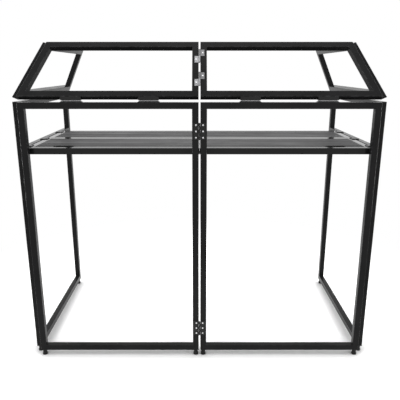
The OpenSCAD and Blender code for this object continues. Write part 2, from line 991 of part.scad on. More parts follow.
front_frame_left();
front_frame_right();
side_frame_left();
side_frame_right();
centre_hinge_leaves_left();
centre_hinge_leaves_right();
centre_hinge_pins();
corner_hinge_front_leaves_left();
corner_hinge_front_leaves_right();
corner_hinge_side_leaves_left();
corner_hinge_side_leaves_right();
corner_hinge_pins_left();
corner_hinge_pins_right();
front_screws_left();
front_screws_right();
side_screws_left();
side_screws_right();
front_feet_left();
front_feet_right();
side_feet_left();
side_feet_right();
front_seat_plates_left();
front_seat_plates_right();
side_seat_plates_left();
side_seat_plates_right();
front_seat_pads_left();
front_seat_pads_right();
side_seat_pads_left();
side_seat_pads_right();
top_front_frame_left();
top_front_frame_right();
top_side_frame_left();
top_side_frame_right();
lift_hinge_pin_leaves();
lift_hinge_pins();
lift_hinge_socket_leaves();
top_corner_front_leaves_left();
top_corner_front_leaves_right();
top_corner_side_leaves_left();
top_corner_side_leaves_right();
top_corner_pins_left();
top_corner_pins_right();
top_front_screws_left();
top_front_screws_right();
top_side_screws_left();
top_side_screws_right();
top_front_wedges_left();
top_front_wedges_right();
top_side_wedges_left();
top_side_wedges_right();
shelf_boards_left();
shelf_boards_right();
shelf_channels_left();
shelf_channels_right();
shelf_tie_plates();
shelf_hooks_left();
shelf_hooks_right();
shelf_screws();
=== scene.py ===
"""Dresses a folding booth frame: coated tube, a laminate shelf, rubber feet and plated screws."""

import json
import logging
import math
import random
from collections.abc import Iterable
from dataclasses import dataclass
from enum import Enum

import bmesh
import bpy
from mathutils import Matrix, Vector

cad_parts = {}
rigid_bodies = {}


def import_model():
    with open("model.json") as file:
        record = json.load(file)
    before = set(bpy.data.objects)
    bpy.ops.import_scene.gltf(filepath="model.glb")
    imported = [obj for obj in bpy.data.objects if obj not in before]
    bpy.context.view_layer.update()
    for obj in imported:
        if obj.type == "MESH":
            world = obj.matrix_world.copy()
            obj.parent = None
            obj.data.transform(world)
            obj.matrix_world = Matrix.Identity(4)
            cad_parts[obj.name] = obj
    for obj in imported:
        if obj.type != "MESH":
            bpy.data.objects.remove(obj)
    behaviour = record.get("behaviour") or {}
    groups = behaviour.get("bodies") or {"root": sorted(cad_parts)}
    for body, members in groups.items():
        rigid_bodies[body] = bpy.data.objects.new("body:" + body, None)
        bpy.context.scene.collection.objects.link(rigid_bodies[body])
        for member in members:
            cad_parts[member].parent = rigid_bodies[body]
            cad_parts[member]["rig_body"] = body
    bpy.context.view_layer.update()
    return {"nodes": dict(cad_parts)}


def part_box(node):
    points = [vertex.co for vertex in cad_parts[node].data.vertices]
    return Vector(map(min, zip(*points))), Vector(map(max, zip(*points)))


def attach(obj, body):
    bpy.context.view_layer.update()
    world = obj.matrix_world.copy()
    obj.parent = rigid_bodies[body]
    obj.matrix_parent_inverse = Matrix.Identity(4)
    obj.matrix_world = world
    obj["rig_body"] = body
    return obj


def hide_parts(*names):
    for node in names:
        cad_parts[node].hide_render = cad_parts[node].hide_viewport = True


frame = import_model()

LOG = logging.getLogger("booth")
MM = 0.001

Colour = tuple[float, float, float]
Place = tuple[float, float, float]
Span = tuple[float, float]
Loop = list[bmesh.types.BMVert]

WHITE: Colour = (1.0, 1.0, 1.0)
BLACK: Colour = (0.0, 0.0, 0.0)

# A Mix node repeats its socket names for each data type, so the colour sockets go by number.
MIX_AMOUNT, MIX_FIRST, MIX_SECOND, MIX_RESULT = 0, 6, 7, 2


class Side(Enum):
    """The two mirrored halves of the booth."""

    LEFT = "left"
    RIGHT = "right"

    @property
    def sign(self) -> float:
        """Which way the half lies along X.

        Returns:
            -1 for the left half and 1 for the right half.
        """
        return -1.0 if self is Side.LEFT else 1.0


class Group(Enum):
    """Names of the shared surface effects."""

    GRAIN = "paint_grain"
    WEAR = "edge_wear"
    DUST = "settled_dust"
    STREAKS = "drawn_streaks"


class Graph:
    """A node tree with short ways to add and join its nodes."""

    def __init__(self, tree: bpy.types.NodeTree) -> None:
        """Wraps a tree.

        Args:
            tree: The shader tree that is filled.
        """
        self.tree = tree

    def add(self, kind: str, **values: object) -> bpy.types.Node:
        """Adds one node.

        Args:
            kind: The node's type, without its ShaderNode prefix.
            **values: Attributes of the node, or its input sockets by name with _ for spaces.

        Returns:
            The new node.
        """
        node = self.tree.nodes.new(kind if kind.startswith("Node") else f"ShaderNode{kind}")
        for name, value in values.items():
            if hasattr(node, name):
                setattr(node, name, value)
            else:
                self.feed(node.inputs[name.replace("_", " ")], value)
        return node

    def feed(self, socket: bpy.types.NodeSocket, value: object) -> None:
        """Links a socket to another, or sets its value.

        Args:
            socket: The input that is fed.
            value: An output socket, or a plain value.
        """
        if isinstance(value, bpy.types.NodeSocket):
            self.tree.links.new(value, socket)
        elif isinstance(value, tuple) and socket.type == "RGBA":
            socket.default_value = (*value, 1.0)
        else:
            socket.default_value = value

    def maths(
        self, operation: str, a: object, b: object, clamp: bool = False
    ) -> bpy.types.NodeSocket:
        """Adds a Math node.

        Args:
            operation: The node's operation.
            a: Its first value or socket.
            b: Its second value or socket.
            clamp: Whether the result stays between 0 and 1.

        Returns:
            The result's socket.
        """
        node = self.add("Math", operation=operation, use_clamp=clamp)
        self.feed(node.inputs[0], a)
        self.feed(node.inputs[1], b)
        return node.outputs[0]

    def ramp(self, value: object, source: Span, target: Span = (0.0, 1.0)) -> bpy.types.NodeSocket:
        """Maps a value's range onto another with clamped ends.

        Args:
            value: The socket that is mapped.
            source: The values that give the target's two ends.
            target: The results at those two ends.

        Returns:
            The result's socket.
        """
        node = self.add(
            "MapRange", From_Min=source[0], From_Max=source[1], To_Min=target[0], To_Max=target[1]
        )
        self.feed(node.inputs["Value"], value)
        return node.outputs["Result"]

    def blend(self, amount: object, first: object, second: object) -> bpy.types.NodeSocket:
        """Mixes two colours.

        Args:
            amount: How much of the second colour shows.
            first: The first colour or socket.
            second: The second colour or socket.

        Returns:
            The colour's socket.
        """
        node = self.add("Mix", data_type="RGBA")
        self.feed(node.inputs[MIX_AMOUNT], amount)
        self.feed(node.inputs[MIX_FIRST], first)
        self.feed(node.inputs[MIX_SECOND], second)
        return node.outputs[MIX_RESULT]

    def mix_shaders(
        self, amount: bpy.types.NodeSocket, first: bpy.types.Node, second: bpy.types.Node
    ) -> bpy.types.NodeSocket:
        """Mixes two shaders.

        Args:
            amount: How much of the second shader shows.
            first: The first shader's node.
            second: The second shader's node.

        Returns:
            The mixed shader's socket.
        """
        node = self.add("MixShader")
        for socket, value in zip(node.inputs, (amount, first.outputs[0], second.outputs[0])):
            self.feed(socket, value)
        return node.outputs[0]

    def noise(self, where: object, scale: object, detail: float) -> bpy.types.NodeSocket:
        """Adds a noise texture.

        Args:
            where: The coordinates' socket.
            scale: The noise's scale per metre.
            detail: The noise's detail.

        Returns:
            The value's socket.
        """
        node = self.add("TexNoise", Detail=detail)
        self.feed(node.inputs["Vector"], where)
        self.feed(node.inputs["Scale"], scale)
        return node.outputs[0]

    def place(self) -> bpy.types.NodeSocket:
        """Gives the piece's own coordinates, in metres.

        Returns:
            The coordinates' socket.
        """
        return self.add("TexCoord").outputs["Object"]

    def normal(self) -> bpy.types.NodeSocket:
        """Gives the surface's normal.

        Returns:
            The normal's socket.
        """
        return self.add("NewGeometry").outputs["Normal"]


@dataclass(frozen=True)
class Effects:
    """The shared surface effects, each built once as a node group that gives heights or masks."""

    grain_scale: float = 900.0
    grain_detail: float = 2.0
    patch_scale: float = 9.0
    patch_detail: float = 4.0
    patch_range: Span = (0.3, 0.7)
    edge_radius: float = 2 * MM
    edge_samples: int = 4
    edge_range: Span = (0.995, 0.93)
    breakup_scale: float = 60.0
    breakup_detail: float = 5.0
    breakup_range: Span = (0.42, 0.62)
    level_range: Span = (0.6, 0.98)
    speck_scale: float = 22.0
    speck_detail: float = 8.0
    speck_range: Span = (0.4, 0.75)
    lines_across: float = 700.0
    lines_along: float = 5.0
    line_detail: float = 4.0

    def start(
        self, name: Group, inputs: dict[str, float], outputs: tuple[str, ...]
    ) -> tuple[Graph, bpy.types.Node, bpy.types.Node]:
        """Starts a group with named sockets.

        Args:
            name: The effect.
            inputs: Its number inputs with their defaults.
            outputs: Its number outputs.

        Returns:
            The group's graph, its input node and its output node.
        """
        tree = bpy.data.node_groups.new(name.value, "ShaderNodeTree")
        kind = "NodeSocketFloat"
        for label, default in inputs.items():
            socket = tree.interface.new_socket(label, in_out="INPUT", socket_type=kind)
            socket.default_value = default
        for label in outputs:
            tree.interface.new_socket(label, in_out="OUTPUT", socket_type=kind)
        graph = Graph(tree)
        return graph, graph.add("NodeGroupInput"), graph.add("NodeGroupOutput")

    def build_grain(self) -> None:
        """Builds the fine texture of a sprayed or moulded skin, with a slow unevenness."""
        inputs = {"Scale": self.grain_scale, "Patch Scale": self.patch_scale}
        graph, given, result = self.start(Group.GRAIN, inputs, ("Height", "Patches"))
        where = graph.place()
        fine = graph.noise(where, given.outputs["Scale"], self.grain_detail)
        wide = graph.noise(where, given.outputs["Patch Scale"], self.patch_detail)
        graph.feed(result.inputs["Height"], fine)
        graph.feed(result.inputs["Patches"], graph.ramp(wide, self.patch_range))

    def build_wear_and_highlight(self) -> None:
        """Builds a mask where the surface turns sharply, broken up by noise: rubbed edges, and on
        the tube coat also a painted highlight along rounded edges.
        """
        inputs = {"Radius": self.edge_radius, "Breakup": self.breakup_scale}
        graph, given, result = self.start(Group.WEAR, inputs, ("Mask",))
        rounded = graph.add("Bevel", samples=self.edge_samples)
        graph.feed(rounded.inputs["Radius"], given.outputs["Radius"])
        turn = graph.add("VectorMath", operation="DOT_PRODUCT")
        graph.feed(turn.inputs[0], rounded.outputs["Normal"])
        graph.feed(turn.inputs[1], graph.normal())
        edge = graph.ramp(turn.outputs["Value"], self.edge_range)
        broken = graph.noise(graph.place(), given.outputs["Breakup"], self.breakup_detail)
        patches = graph.ramp(broken, self.breakup_range)
        graph.feed(result.inputs["Mask"], graph.maths("MULTIPLY", edge, patches, clamp=True))

    def build_dust(self) -> None:
        """Builds dust that settles on faces that look up."""
        graph, given, result = self.start(Group.DUST, {"Scale": self.speck_scale}, ("Mask",))
        up = graph.add("SeparateXYZ")
        graph.feed(up.inputs[0], graph.normal())
        level = graph.ramp(up.outputs["Z"], self.level_range)
        fine = graph.noise(graph.place(), given.outputs["Scale"], self.speck_detail)
        specks = graph.ramp(fine, self.speck_range)
        graph.feed(result.inputs["Mask"], graph.maths("MULTIPLY", level, specks, clamp=True))

    def build_streaks(self) -> None:
        """Builds long fine lines along X, as in a drawn or printed surface."""
        inputs = {"Across": self.lines_across, "Along": self.lines_along}
        graph, given, result = self.start(Group.STREAKS, inputs, ("Lines",))
        stretch = graph.add("CombineXYZ")
        graph.feed(stretch.inputs["X"], given.outputs["Along"])
        graph.feed(stretch.inputs["Y"], given.outputs["Across"])
        graph.feed(stretch.inputs["Z"], given.outputs["Across"])
        scaled = graph.add("VectorMath", operation="MULTIPLY")
        graph.feed(scaled.inputs[0], graph.place())
        graph.feed(scaled.inputs[1], stretch.outputs[0])
        graph.feed(result.inputs["Lines"], graph.noise(scaled.outputs[0], 1.0, self.line_detail))

    def build(self) -> None:
        """Builds every effect."""
        self.build_grain()
        self.build_wear_and_highlight()
        self.build_dust()
        self.build_streaks()
        LOG.info("effects are built")


def start_material(name: str) -> tuple[bpy.types.Material, Graph]:
    """Makes a material with an empty node tree.

    Args:
        name: The material's name.

    Returns:
        The material and its graph.
    """
    material = bpy.data.materials.new(name)
    material.use_nodes = True
    material.node_tree.nodes.clear()
    return material, Graph(material.node_tree)


@dataclass(frozen=True)
class Finish:
    """A surface finish with what every finish of the booth shares."""

    name: str
    colour: Colour
    second_colour: Colour
    roughness: float
    roughness_swing: float = 0.06
    metallic: float = 0.0
    specular: float = 0.5
    grain_scale: float = 900.0
    grain_depth: float = 0.04 * MM
    patch_scale: float = 9.0
    bump_strength: float = 0.6
    dust: float = 0.0
    dust_colour: Colour = (0.35, 0.34, 0.32)
    wear_and_highlight: float = 0.0
    wear_and_highlight_colour: Colour = (0.2, 0.2, 0.21)
    wear_and_highlight_radius: float = 2 * MM
    streaks: float = 0.0
    streak_across: float = 700.0
    streak_along: float = 5.0
    streak_range: Span = (0.3, 0.7)
    streak_cover: float = 0.6
    streak_gloss: float = 0.0
    gloss_range: Span = (0.35, 0.65)

    def group(self, graph: Graph, name: Group, **values: float) -> bpy.types.Node:
        """Places a shared effect.

        Args:
            graph: The material's graph.
            name: The effect.
            **values: Its inputs.

        Returns:
            The group's node.
        """
        return graph.add("Group", node_tree=bpy.data.node_groups[name.value], **values)

    def build(self) -> bpy.types.Material:
        """Makes the finish's material.

        Returns:
            The material.
        """
        material, graph = start_material(self.name)
        grain = self.group(
            graph, Group.GRAIN, Scale=self.grain_scale, Patch_Scale=self.patch_scale
        )
        patches, height = grain.outputs["Patches"], grain.outputs["Height"]
        colour = graph.blend(patches, self.colour, self.second_colour)
        swing = (self.roughness - self.roughness_swing, self.roughness + self.roughness_swing)
        rough = graph.ramp(patches, (0.0, 1.0), swing)
        if self.streaks:
            drawn = self.group(
                graph, Group.STREAKS, Across=self.streak_across, Along=self.streak_along
            )
            lines = drawn.outputs["Lines"]
            cover = graph.maths("MULTIPLY", graph.ramp(lines, self.streak_range), self.streak_cover)
            paler = tuple(part * (1 + self.streaks) for part in self.second_colour)
            colour = graph.blend(cover, colour, paler)
            height = graph.maths("ADD", height, lines)
            if self.streak_gloss:
                gloss = graph.ramp(lines, self.gloss_range, (-self.streak_gloss, self.streak_gloss))
                rough = graph.maths("SUBTRACT", rough, gloss)
        if self.dust:
            mask = self.group(graph, Group.DUST).outputs["Mask"]
            dusty = graph.maths("MULTIPLY", mask, self.dust)
            colour = graph.blend(dusty, colour, self.dust_colour)
            rough = graph.maths("ADD", rough, dusty, clamp=True)
        # Lighter edges: real wear, and on the tube coat also a painted highlight.
        if self.wear_and_highlight:
            mask = self.group(graph, Group.WEAR, Radius=self.wear_and_highlight_radius).outputs["Mask"]
            colour = graph.blend(graph.maths("MULTIPLY", mask, self.wear_and_highlight), colour, self.wear_and_highlight_colour)
        bump = graph.add("Bump", Strength=self.bump_strength, Distance=self.grain_depth)
        graph.feed(bump.inputs["Height"], height)
        shader = graph.add(
            "BsdfPrincipled", Metallic=self.metallic, Specular_IOR_Level=self.specular
        )
        graph.feed(shader.inputs["Base Color"], colour)
        graph.feed(shader.inputs["Roughness"], rough)
        graph.feed(shader.inputs["Normal"], bump.outputs["Normal"])
        graph.feed(graph.add("OutputMaterial").inputs["Surface"], shader.outputs[0])
        return material


# Edge wear is strong on the tube coat: its lighter edges are partly real wear and partly a painted
# highlight on the tubes' rounded edges.
TUBE_COAT = Finish(
    "satin_black_coat", (0.0095, 0.0095, 0.0097), (0.0135, 0.0135, 0.0138), 0.2,
    specular=0.08, dust=0.01, wear_and_highlight=0.4,
)
FITTING_COAT = Finish(
    "black_fitting_coat", (0.006, 0.006, 0.006), (0.01, 0.01, 0.01), 0.3,
    specular=0.25, grain_scale=1500.0, wear_and_highlight=0.4, wear_and_highlight_radius=0.6 * MM,
)
CHANNEL_COAT = Finish(
    "channel_coat", (0.006, 0.006, 0.006), (0.009, 0.009, 0.009), 0.15, roughness_swing=0.03,
    specular=0.18, grain_depth=0.01 * MM, dust=0.03, wear_and_highlight=0.3, wear_and_highlight_radius=1 * MM,
)
# Painted highlight: a paler, glossier copy of the channel coat on the top faces of the channel ends
# beside the frames; its dust and wear are the surface's own.
END_LIP_HIGHLIGHT = Finish(
    "painted_highlight_end_lip", (0.07, 0.07, 0.071), (0.1, 0.1, 0.102), 0.12, roughness_swing=0.03,
    specular=0.5, grain_depth=0.01 * MM, dust=0.1, wear_and_highlight=0.3, wear_and_highlight_radius=1 * MM,
)
LAMINATE = Finish(
    "grey_laminate", (0.025, 0.025, 0.026), (0.033, 0.033, 0.034), 0.54,
    specular=0.18, grain_scale=1300.0, grain_depth=0.03 * MM, dust=0.04,
    streaks=1.3, streak_across=55.0, streak_along=0.9, streak_gloss=0.14,
)
FOOT_RUBBER = Finish(
    "foot_rubber", (0.006, 0.006, 0.006), (0.01, 0.01, 0.0098), 0.5,
    specular=0.2, grain_scale=1800.0, dust=0.04,
)
# Painted shade: near-black rubber whose walls stand in for the shade inside the cable slots.
SHADE_LINER_RUBBER = Finish(
    "slot_shade_rubber", (0.004, 0.004, 0.004), (0.007, 0.007, 0.007), 0.7,
    specular=0.12, grain_scale=1800.0, dust=0.02,
)
PAD_PLASTIC = Finish("pale_pad", (0.5, 0.5, 0.51), (0.58, 0.58, 0.59), 0.5, grain_scale=1600.0)
ZINC = Finish(
    "zinc_plate", (0.2, 0.2, 0.205), (0.3, 0.3, 0.31), 0.3, metallic=1.0,
    grain_scale=1400.0, grain_depth=0.01 * MM, patch_scale=120.0,
    streaks=0.15, streak_across=900.0, streak_along=300.0,
)
SCREW_ZINC = Finish(
    "screw_zinc", (0.6, 0.6, 0.61), (0.74, 0.74, 0.75), 0.42, metallic=1.0,
    grain_scale=1400.0, grain_depth=0.01 * MM, patch_scale=200.0,
    streaks=0.1, streak_across=900.0, streak_along=300.0,
)
DULL_ZINC = Finish(
    "dull_zinc_plate", (0.1, 0.1, 0.103), (0.17, 0.17, 0.175), 0.38, metallic=1.0,
    grain_scale=1400.0, grain_depth=0.01 * MM, patch_scale=120.0,
    streaks=0.15, streak_across=900.0, streak_along=300.0,
)
FINISHES = (
    TUBE_COAT, FITTING_COAT, CHANNEL_COAT, END_LIP_HIGHLIGHT, LAMINATE, FOOT_RUBBER, SHADE_LINER_RUBBER,
    PAD_PLASTIC, ZINC, SCREW_ZINC, DULL_ZINC,
)
Materials = dict[Finish, bpy.types.Material]


def dress(node: str, material: bpy.types.Material) -> None:
    """Gives a CAD node one material all over.

    Args:
        node: The node's name.
        material: Its finish.
    """
    thing = frame["nodes"][node]
    thing.data.materials.clear()
    thing.data.materials.append(material)
    for face in thing.data.polygons:
        face.material_index = 0
    LOG.info("%s has %s", node, material.name)


def add_loop(
    shape: bmesh.types.BMesh, place: Matrix, points: Iterable[Span], height: float
) -> Loop:
    """Adds a loop of vertices at one height.

    Args:
        shape: The mesh that is added to.
        place: The place that the loop is measured from.
        points: The loop's points across.
        height: The loop's height.

    Returns:
        The vertices.
    """
    return [shape.verts.new(place @ Vector((x, y, height))) for x, y in points]


def bridge(shape: bmesh.types.BMesh, first: Loop, second: Loop) -> None:
    """Joins two closed loops of the same length with faces.

    Args:
        shape: The mesh that is added to.
        first: The first loop.
        second: The second loop.
    """
    for step, after in enumerate((*range(1, len(first)), 0)):
        shape.faces.new((first[step], first[after], second[after], second[step]))


def loop_edges(shape: bmesh.types.BMesh, loop: Loop) -> list[bmesh.types.BMEdge]:
    """Finds the edges of a closed loop.

    Args:
        shape: The loop's mesh.
        loop: The loop.

    Returns:
        The edges in order.
    """
    return [shape.edges.get(pair) for pair in zip(loop, loop[1:] + loop[:1])]


def circle(radius: float, sides: int) -> list[Span]:
    """Gives points round a circle.

    Args:
        radius: The circle's radius.
        sides: How many points it has.

    Returns:
        The points.
    """
    turns = [2 * math.pi * step / sides for step in range(sides)]
    return [(radius * math.cos(turn), radius * math.sin(turn)) for turn in turns]


def new_piece(
    name: str,
    shape: bmesh.types.BMesh,
    material: bpy.types.Material,
    body: str,
    smooth: bool = False,
) -> bpy.types.Object:
    """Makes a piece from mesh code and sets it on its body.

    Args:
        name: The piece's name.
        shape: Its mesh, which is used up.
        material: Its finish.
        body: The CAD body it moves with.
        smooth: Whether its faces shade as a round skin.

    Returns:
        The piece.
    """
    bmesh.ops.recalc_face_normals(shape, faces=shape.faces)
    mesh = bpy.data.meshes.new(name)
    shape.to_mesh(mesh)
    shape.free()
    for face in mesh.polygons:
        face.use_smooth = smooth
    mesh.materials.append(material)
    thing = bpy.data.objects.new(name, mesh)
    bpy.context.scene.collection.objects.link(thing)
    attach(thing, body)
    LOG.info("%s has %s and rides on %s", name, material.name, body)
    return thing


@dataclass
class FrameSet:
    """The coated tube frames, lower and upper."""

    nodes: tuple[str, ...] = ("front_frame", "side_frame", "top_front_frame", "top_side_frame")

    def build(self, materials: Materials) -> None:
        """Dresses the frames.

        Args:
            materials: The material of each finish.
        """
        for side in Side:
            for node in self.nodes:
                dress(f"{node}_{side.value}", materials[TUBE_COAT])


@dataclass
class Fittings:
    """Hinges, seats, wedges, hangers, pads and feet."""

    black: tuple[str, ...] = (
        "centre_hinge_leaves", "corner_hinge_front_leaves", "corner_hinge_side_leaves",
        "corner_hinge_pins", "front_seat_plates", "side_seat_plates", "top_corner_front_leaves",
        "top_corner_side_leaves", "top_corner_pins", "top_front_wedges", "top_side_wedges",
        "shelf_hooks",
    )
    feet: tuple[str, ...] = ("front_feet", "side_feet")
    pads: tuple[str, ...] = ("front_seat_pads", "side_seat_pads")
    middle: tuple[tuple[str, Finish], ...] = (
        ("centre_hinge_pins", FITTING_COAT),
        ("lift_hinge_pin_leaves", ZINC),
        ("lift_hinge_pins", ZINC),
        ("lift_hinge_socket_leaves", DULL_ZINC),
    )

    def build(self, materials: Materials) -> None:
        """Dresses the fittings.

        Args:
            materials: The material of each finish.
        """
        paired = ((self.black, FITTING_COAT), (self.feet, FOOT_RUBBER), (self.pads, PAD_PLASTIC))
        for nodes, finish in paired:
            for side in Side:
                for node in nodes:
                    dress(f"{node}_{side.value}", materials[finish])
        for node, finish in self.middle:
            dress(node, materials[finish])


@dataclass(frozen=True)
class ScrewEnd:
    """The ring of points at one end of a screw, with its height along the axis toward that end."""

    radius: float
    height: float
    middle: Vector


@dataclass(frozen=True)
class Screw:
    """A plain screw of the CAD model: where its head is seated, and its sizes."""

    place: Matrix
    head_radius: float
    head_height: float
    shank_radius: float
    shank_length: float


@dataclass
class PanScrews:
    """Pan-head screws with a cross recess, one in place of each plain screw of the CAD nodes."""

    nodes: tuple[str, ...] = (
        "front_screws_left", "front_screws_right", "side_screws_left", "side_screws_right",
        "top_front_screws_left", "top_front_screws_right",
        "top_side_screws_left", "top_side_screws_right", "shelf_screws",
    )
    dull_nodes: tuple[str, ...] = ("shelf_screws",)
    head_sides: int = 24
    # Each ring of the dome, as shares of the head's radius and height.
    crown: tuple[Span, ...] = (
        (1.0, 0.0), (1.0, 0.35), (0.94, 0.62), (0.84, 0.84), (0.7, 0.97), (0.62, 1.0)
    )
    # The recess: shares of the head's radius, of its height, and of the recess's own mouth.
    arm_length: float = 0.46
    arm_width: float = 0.1
    recess_depth: float = 0.7
    recess_floor: float = 0.45
    shank_sides: int = 12
    shank_steps: int = 14
    # The thread's root and the point, as shares of the shank's radius.
    root: float = 0.84
    point: float = 0.35
    weld: float = 0.001 * MM
    same_level: float = 0.02 * MM
    # Points of the head's rim reach at least this share of its radius.
    rim_share: float = 0.97
    normal_digits: int = 3
    seed: int = 7

    def recess_outline(self) -> list[Span]:
        """Gives the cross that the recess has at its mouth.

        Returns:
            The cross's corners, as shares of the head's radius.
        """
        long, wide = self.arm_length, self.arm_width
        corners = [(long, -wide), (long, wide), (wide, wide)]
        outline = []
        for _ in range(4):
            outline += corners
            corners = [(-y, x) for x, y in corners]
        return outline

    def add_head(
        self, shape: bmesh.types.BMesh, place: Matrix, radius: float, height: float
    ) -> None:
        """Adds a domed head with its recess.

        Args:
            shape: The mesh that is added to.
            place: The head's place, with its top toward +Z.
            radius: The head's radius.
            height: The head's height.
        """
        rings = [
            add_loop(shape, place, circle(radius * across, self.head_sides), height * up)
            for across, up in self.crown
        ]
        for low, high in zip(rings, rings[1:]):
            bridge(shape, low, high)
        shape.faces.new(rings[0][::-1])
        outline = [(radius * x, radius * y) for x, y in self.recess_outline()]
        inner = [(x * self.recess_floor, y * self.recess_floor) for x, y in outline]
        mouth = add_loop(shape, place, outline, height)
        base = add_loop(shape, place, inner, height * (1 - self.recess_depth))
        bridge(shape, mouth, base)
        shape.faces.new(base)
        edges = loop_edges(shape, rings[-1]) + loop_edges(shape, mouth)
        bmesh.ops.triangle_fill(shape, use_beauty=True, edges=edges)

    def add_shank(
        self, shape: bmesh.types.BMesh, place: Matrix, radius: float, length: float
    ) -> None:
        """Adds a shank with turned threads and a short point.

        Args:
            shape: The mesh that is added to.
            place: The screw's place, with its head toward +Z.
            radius: The shank's radius.
            length: The shank's length.
        """
        steps = range(self.shank_steps)
        heights = [-length * step / self.shank_steps for step in steps] + [-length]
        shares = [1.0 if step % 2 else self.root for step in steps] + [self.point]
        rings = [
            add_loop(shape, place, circle(radius * share, self.shank_sides), height)
            for height, share in zip(heights, shares)
        ]
        for high, low in zip(rings, rings[1:]):
            bridge(shape, low, high)
        shape.faces.new(rings[0])
        shape.faces.new(rings[-1][::-1])

    def find_screws(self, node: str) -> list[Screw]:
        """Finds each screw of a CAD node.

        Args:
            node: The node's name.

        Returns:
            The screws, in the order of their first vertices.
        """
        shape = bmesh.new()
        shape.from_mesh(frame["nodes"][node].data)
        bmesh.ops.remove_doubles(shape, verts=shape.verts, dist=self.weld)
        shape.verts.index_update()
        found = []
        taken: set[int] = set()
        for start in shape.verts:
            if start.index in taken:
                continue
            taken.add(start.index)
            island = [start]
            # The list grows while it is walked, until the whole screw is in it.
            for vert in island:
                for edge in vert.link_edges:
                    other = edge.other_vert(vert)
                    if other.index not in taken:
                        taken.add(other.index)
                        island.append(other)
            found.append(self.measure(island))
        shape.free()
        return found

    def measure_end(self, points: list[Vector], axis: Vector) -> ScrewEnd:
        """Measures the end of a screw that an axis points to.

        Args:
            points: The screw's points.
            axis: The axis, toward the end that is measured.

        Returns:
            The end.
        """
        height = max(point.dot(axis) for point in points)
        ring = [point for point in points if abs(point.dot(axis) - height) < self.same_level]
        middle = sum(ring, Vector()) / len(ring)
        return ScrewEnd(max((point - middle).length for point in ring), height, middle)

    def measure(self, island: Loop) -> Screw:
        """Measures one screw.

        Args:
            island: The screw's vertices.

        Returns:
            The screw.
        """
        areas: dict[tuple[float, ...], float] = {}
        for face in dict.fromkeys(face for vert in island for face in vert.link_faces):
            key = tuple(round(part, self.normal_digits) + 0.0 for part in face.normal)
            areas[key] = areas.get(key, 0.0) + face.calc_area()
        axis = Vector(max(areas, key=areas.get)).normalized()
        points = [vert.co.copy() for vert in island]
        top, tip = self.measure_end(points, axis), self.measure_end(points, -axis)
        if tip.radius > top.radius:
            axis, top, tip = -axis, tip, top
        spread = [
            (point - top.middle - axis * (point - top.middle).dot(axis)).length for point in points
        ]
        head_radius = max(spread)
        rim = [
            point.dot(axis)
            for point, span in zip(points, spread)
            if span > head_radius * self.rim_share
        ]
        under = min(rim)
        seat = Matrix.Translation(top.middle + axis * (under - top.height))
        turn = axis.to_track_quat("Z", "Y").to_matrix().to_4x4()
        return Screw(
            seat @ turn, head_radius, top.height - under, tip.radius, under + tip.height
        )

    def build(self, materials: Materials) -> None:
        """Builds the screws of each node.

        Args:
            materials: The material of each finish.
        """
        chance = random.Random(self.seed)
        for node in self.nodes:
            shape = bmesh.new()
            screws = self.find_screws(node)
            for screw in screws:
                turned = screw.place @ Matrix.Rotation(chance.uniform(0.0, math.pi), 4, "Z")
                self.add_head(shape, turned, screw.head_radius, screw.head_height)
                self.add_shank(shape, turned, screw.shank_radius, screw.shank_length)
            material = materials[DULL_ZINC if node in self.dull_nodes else SCREW_ZINC]
            body = frame["nodes"][node]["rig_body"]
            piece = new_piece(f"pan_{node}", shape, material, body)
            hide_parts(node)
            LOG.info("%s holds %d screws", piece.name, len(screws))


@dataclass
class Shelf:
    """The shelf in its channels, whose end lips carry a painted highlight: a paler, glossier finish
    on their top faces.
    """

    lip: float = 24 * MM
    margin: float = 1 * MM
    upward: float = 0.9

    def paint_end_highlight(self, side: Side, material: bpy.types.Material) -> None:
        """Gives the top face of the channel at the shelf's end a paler finish as a painted
        highlight.

        Args:
            side: The half of the shelf.
            material: The paler finish that paints the highlight.
        """
        thing = frame["nodes"][f"shelf_channels_{side.value}"]
        low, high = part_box(f"shelf_channels_{side.value}")
        reach = -low.x if side is Side.LEFT else high.x
        thing.data.materials.append(material)
        for face in thing.data.polygons:
            at_end = abs(face.center.x) > reach - self.lip - self.margin
            if at_end and face.normal.z > self.upward:
                face.material_index = 1
        LOG.info("shelf_channels_%s has %s at its end", side.value, material.name)

    def build(self, materials: Materials) -> None:
        """Dresses the shelf.

        Args:
            materials: The material of each finish.
        """
        for side in Side:
            dress(f"shelf_boards_{side.value}", materials[LAMINATE])
            dress(f"shelf_channels_{side.value}", materials[CHANNEL_COAT])
            self.paint_end_highlight(side, materials[END_LIP_HIGHLIGHT])
        dress("shelf_tie_plates", materials[FITTING_COAT])


